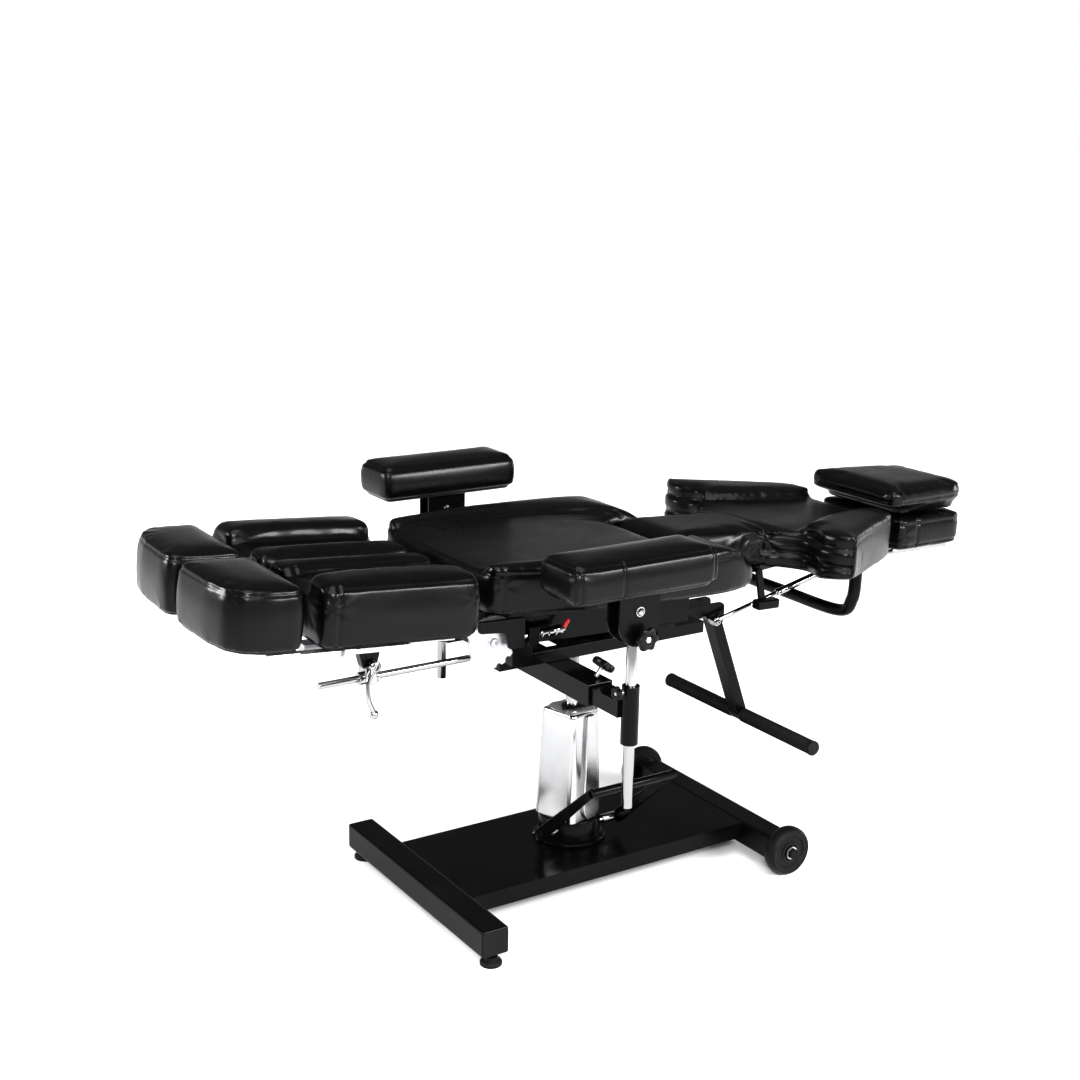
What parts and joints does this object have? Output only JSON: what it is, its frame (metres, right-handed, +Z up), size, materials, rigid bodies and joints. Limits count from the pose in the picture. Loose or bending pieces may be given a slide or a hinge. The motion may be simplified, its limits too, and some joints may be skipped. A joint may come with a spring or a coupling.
{
  "type": "hydraulic treatment chair",
  "caption": "Flat-lying hydraulic client chair: steel base, pump column, seat, split leg rest, waisted backrest, head cushion and armrests.",
  "frame": {"origin": "on the floor, under the middle of the overall length and width", "axes": "+X towards the head end, +Y across the chair, +Z up"},
  "size_m": [1.6839, 0.752, 0.762],
  "materials": {
    "painted_steel": "satin",
    "chrome": "polished",
    "zinc": "satin",
    "leather": "glossy",
    "black_plastic": "matte",
    "rubber": "matte"
  },
  "bodies": {
    "base": {"base_front_bar": "painted_steel", "base_plate": "painted_steel", "base_rear_bar": "painted_steel", "pump_base": "chrome", "pump_shroud": "chrome"},
    "pedal": {"pedal": "painted_steel"},
    "lift": {"pump_rod": "chrome"},
    "chair": {"beam": "painted_steel", "cross_tube": "painted_steel", "seat_rail_near": "painted_steel", "seat_rail_far": "painted_steel", "back_bracket_near": "painted_steel", "back_bracket_far": "painted_steel", "seat_board": "black_plastic", "seat_pad": "leather"},
    "back": {"back_pad": "leather", "back_frame": "painted_steel", "push_handle": "painted_steel"},
    "release_lever": {"release_lever": "painted_steel"},
    "strut_tube": {"strut_tube": "painted_steel"},
    "strut_rod": {"strut_rod": "chrome"},
    "head": {"head_slide": "chrome", "head_pad": "leather", "head_cushion": "leather"},
    "t_bar": {"t_bar": "painted_steel"},
    "wheel_near": {"wheel_near": "rubber"},
    "level_foot_near": {"level_foot_near": "rubber"},
    "plunger_near": {"leg_plunger_near": "chrome"},
    "leg_near": {"leg_arm_near": "zinc", "leg_rod_near": "chrome", "calf_bracket_near": "painted_steel", "calf_pad_near": "leather"},
    "clamp_near": {"clamp_lever_near": "chrome"},
    "foot_near": {"foot_pad_near": "leather", "foot_bar_near": "zinc"},
    "arm_slide_near": {"arm_slide_near": "painted_steel"},
    "slide_knob_near": {"slide_knob_near": "black_plastic"},
    "sleeve_knob_near": {"sleeve_knob_near": "black_plastic"},
    "arm_post_near": {"arm_post_near": "chrome"},
    "arm_rest_near": {"arm_bracket_near": "painted_steel", "arm_pad_near": "leather"},
    "tilt_knob_near": {"tilt_knob_near": "black_plastic"},
    "wheel_far": {"wheel_far": "rubber"},
    "level_foot_far": {"level_foot_far": "rubber"},
    "plunger_far": {"leg_plunger_far": "chrome"},
    "leg_far": {"leg_arm_far": "zinc", "leg_rod_far": "chrome", "calf_bracket_far": "painted_steel", "calf_pad_far": "leather"},
    "clamp_far": {"clamp_lever_far": "chrome"},
    "foot_far": {"foot_pad_far": "leather", "foot_bar_far": "zinc"},
    "arm_slide_far": {"arm_slide_far": "painted_steel"},
    "slide_knob_far": {"slide_knob_far": "black_plastic"},
    "sleeve_knob_far": {"sleeve_knob_far": "black_plastic"},
    "arm_post_far": {"arm_post_far": "chrome"},
    "arm_rest_far": {"arm_bracket_far": "painted_steel", "arm_pad_far": "leather"},
    "tilt_knob_far": {"tilt_knob_far": "black_plastic"}
  },
  "joints": [
    {"name": "pedal_press", "type": "hinge", "parent": "base", "child": "pedal", "pos_m": [-0.0654, -0.03, 0.1], "axis": [1, 0, 0], "range_deg": [0, 28], "stiffness_Nm_per_rad": 6, "springref_deg": -28.65},
    {"name": "pump_lift", "type": "slide", "parent": "base", "child": "lift", "axis": [0, 0, 1], "range_m": [-0.11, 0.06]},
    {"name": "chair_swivel", "type": "hinge", "parent": "lift", "child": "chair", "pos_m": [-0.0654, 0, 0.4657], "axis": [0, 0, 1], "continuous": true},
    {"name": "back_recline", "type": "hinge", "parent": "chair", "child": "back", "pos_m": [0.11019, 0, 0.61779], "axis": [0, -1, 0], "range_deg": [0, 40]},
    {"name": "strut_swing", "type": "hinge", "parent": "back", "child": "strut_tube", "pos_m": [0.56736, -0.042, 0.53518], "axis": [0, -1, 0], "range_deg": [0, 3]},
    {"name": "strut_extend", "type": "slide", "parent": "strut_tube", "child": "strut_rod", "axis": [-0.9754, 0, -0.2204], "range_m": [0, 0.14]},
    {"name": "head_extend", "type": "slide", "parent": "back", "child": "head", "axis": [0.9993, 0, -0.0384], "range_m": [0, 0.08]},
    {"name": "release_pull", "type": "hinge", "parent": "back", "child": "release_lever", "pos_m": [0.29327, -0.094, 0.56422], "axis": [0, 1, 0], "range_deg": [0, 15], "stiffness_Nm_per_rad": 0.8, "springref_deg": -22.92},
    {"name": "t_bar_fold", "type": "hinge", "parent": "chair", "child": "t_bar", "pos_m": [0.2566, 0, 0.462], "axis": [0, -1, 0], "range_deg": [0, 45]},
    {"name": "wheel_roll_near", "type": "hinge", "parent": "base", "child": "wheel_near", "pos_m": [0.2796, -0.2325, 0.0475], "axis": [0, 1, 0], "continuous": true},
    {"name": "foot_screw_near", "type": "hinge", "parent": "base", "child": "level_foot_near", "pos_m": [-0.3814, -0.236, 0.01], "axis": [0, 0, 1], "continuous": true},
    {"name": "plunger_pull_near", "type": "slide", "parent": "chair", "child": "plunger_near", "axis": [1, 0, 0], "range_m": [0, 0.008], "stiffness_N_per_m": 400, "springref_m": -0.006},
    {"name": "leg_tilt_near", "type": "hinge", "parent": "chair", "child": "leg_near", "pos_m": [-0.3394, -0.16, 0.547], "axis": [0, -1, 0], "range_deg": [0, 45]},
    {"name": "foot_extend_near", "type": "slide", "parent": "leg_near", "child": "foot_near", "axis": [-0.9969, 0, 0.0785], "range_m": [0, 0.08]},
    {"name": "clamp_turn_near", "type": "hinge", "parent": "leg_near", "child": "clamp_near", "pos_m": [-0.5684, -0.18, 0.549], "axis": [0, 1, 0], "range_deg": [0, 60]},
    {"name": "arm_width_near", "type": "slide", "parent": "chair", "child": "arm_slide_near", "axis": [0, -1, 0], "range_m": [-0.005, 0.06]},
    {"name": "arm_height_near", "type": "slide", "parent": "arm_slide_near", "child": "arm_post_near", "axis": [0, 0, 1], "range_m": [-0.05, 0.09]},
    {"name": "arm_tilt_near", "type": "hinge", "parent": "arm_post_near", "child": "arm_rest_near", "pos_m": [-0.1654, -0.316, 0.62], "axis": [0, 1, 0], "range_deg": [-15, 60]},
    {"name": "slide_knob_turn_near", "type": "hinge", "parent": "chair", "child": "slide_knob_near", "pos_m": [-0.1604, -0.208, 0.468], "axis": [0.6222, 0, 0.7828], "continuous": true},
    {"name": "sleeve_knob_turn_near", "type": "hinge", "parent": "arm_slide_near", "child": "sleeve_knob_near", "pos_m": [-0.1807, -0.316, 0.478], "axis": [-1, 0, 0], "continuous": true},
    {"name": "tilt_knob_turn_near", "type": "hinge", "parent": "arm_rest_near", "child": "tilt_knob_near", "pos_m": [-0.1604, -0.3343, 0.576], "axis": [0, -1, 0], "continuous": true},
    {"name": "wheel_roll_far", "type": "hinge", "parent": "base", "child": "wheel_far", "pos_m": [0.2796, 0.2325, 0.0475], "axis": [0, 1, 0], "continuous": true},
    {"name": "foot_screw_far", "type": "hinge", "parent": "base", "child": "level_foot_far", "pos_m": [-0.3814, 0.236, 0.01], "axis": [0, 0, 1], "continuous": true},
    {"name": "plunger_pull_far", "type": "slide", "parent": "chair", "child": "plunger_far", "axis": [1, 0, 0], "range_m": [0, 0.008], "stiffness_N_per_m": 400, "springref_m": -0.006},
    {"name": "leg_tilt_far", "type": "hinge", "parent": "chair", "child": "leg_far", "pos_m": [-0.3394, 0.16, 0.547], "axis": [0, -1, 0], "range_deg": [0, 45]},
    {"name": "foot_extend_far", "type": "slide", "parent": "leg_far", "child": "foot_far", "axis": [-0.9969, 0, 0.0785], "range_m": [0, 0.08]},
    {"name": "clamp_turn_far", "type": "hinge", "parent": "leg_far", "child": "clamp_far", "pos_m": [-0.5684, 0.18, 0.549], "axis": [0, 1, 0], "range_deg": [0, 60]},
    {"name": "arm_width_far", "type": "slide", "parent": "chair", "child": "arm_slide_far", "axis": [0, 1, 0], "range_m": [-0.005, 0.06]},
    {"name": "arm_height_far", "type": "slide", "parent": "arm_slide_far", "child": "arm_post_far", "axis": [0, 0, 1], "range_m": [-0.086, 0.05]},
    {"name": "arm_tilt_far", "type": "hinge", "parent": "arm_post_far", "child": "arm_rest_far", "pos_m": [-0.1654, 0.316, 0.656], "axis": [0, 1, 0], "range_deg": [-15, 60]},
    {"name": "slide_knob_turn_far", "type": "hinge", "parent": "chair", "child": "slide_knob_far", "pos_m": [-0.1604, 0.208, 0.468], "axis": [0.6222, 0, 0.7828], "continuous": true},
    {"name": "sleeve_knob_turn_far", "type": "hinge", "parent": "arm_slide_far", "child": "sleeve_knob_far", "pos_m": [-0.1807, 0.316, 0.478], "axis": [-1, 0, 0], "continuous": true},
    {"name": "tilt_knob_turn_far", "type": "hinge", "parent": "arm_rest_far", "child": "tilt_knob_far", "pos_m": [-0.1604, 0.3343, 0.612], "axis": [0, 1, 0], "continuous": true}
  ],
  "couplings": [
    {"joint": "strut_swing", "follows": "back_recline", "ratio": 0.065},
    {"joint": "strut_extend", "follows": "back_recline", "m_per_rad": 0.1963}
  ]
}
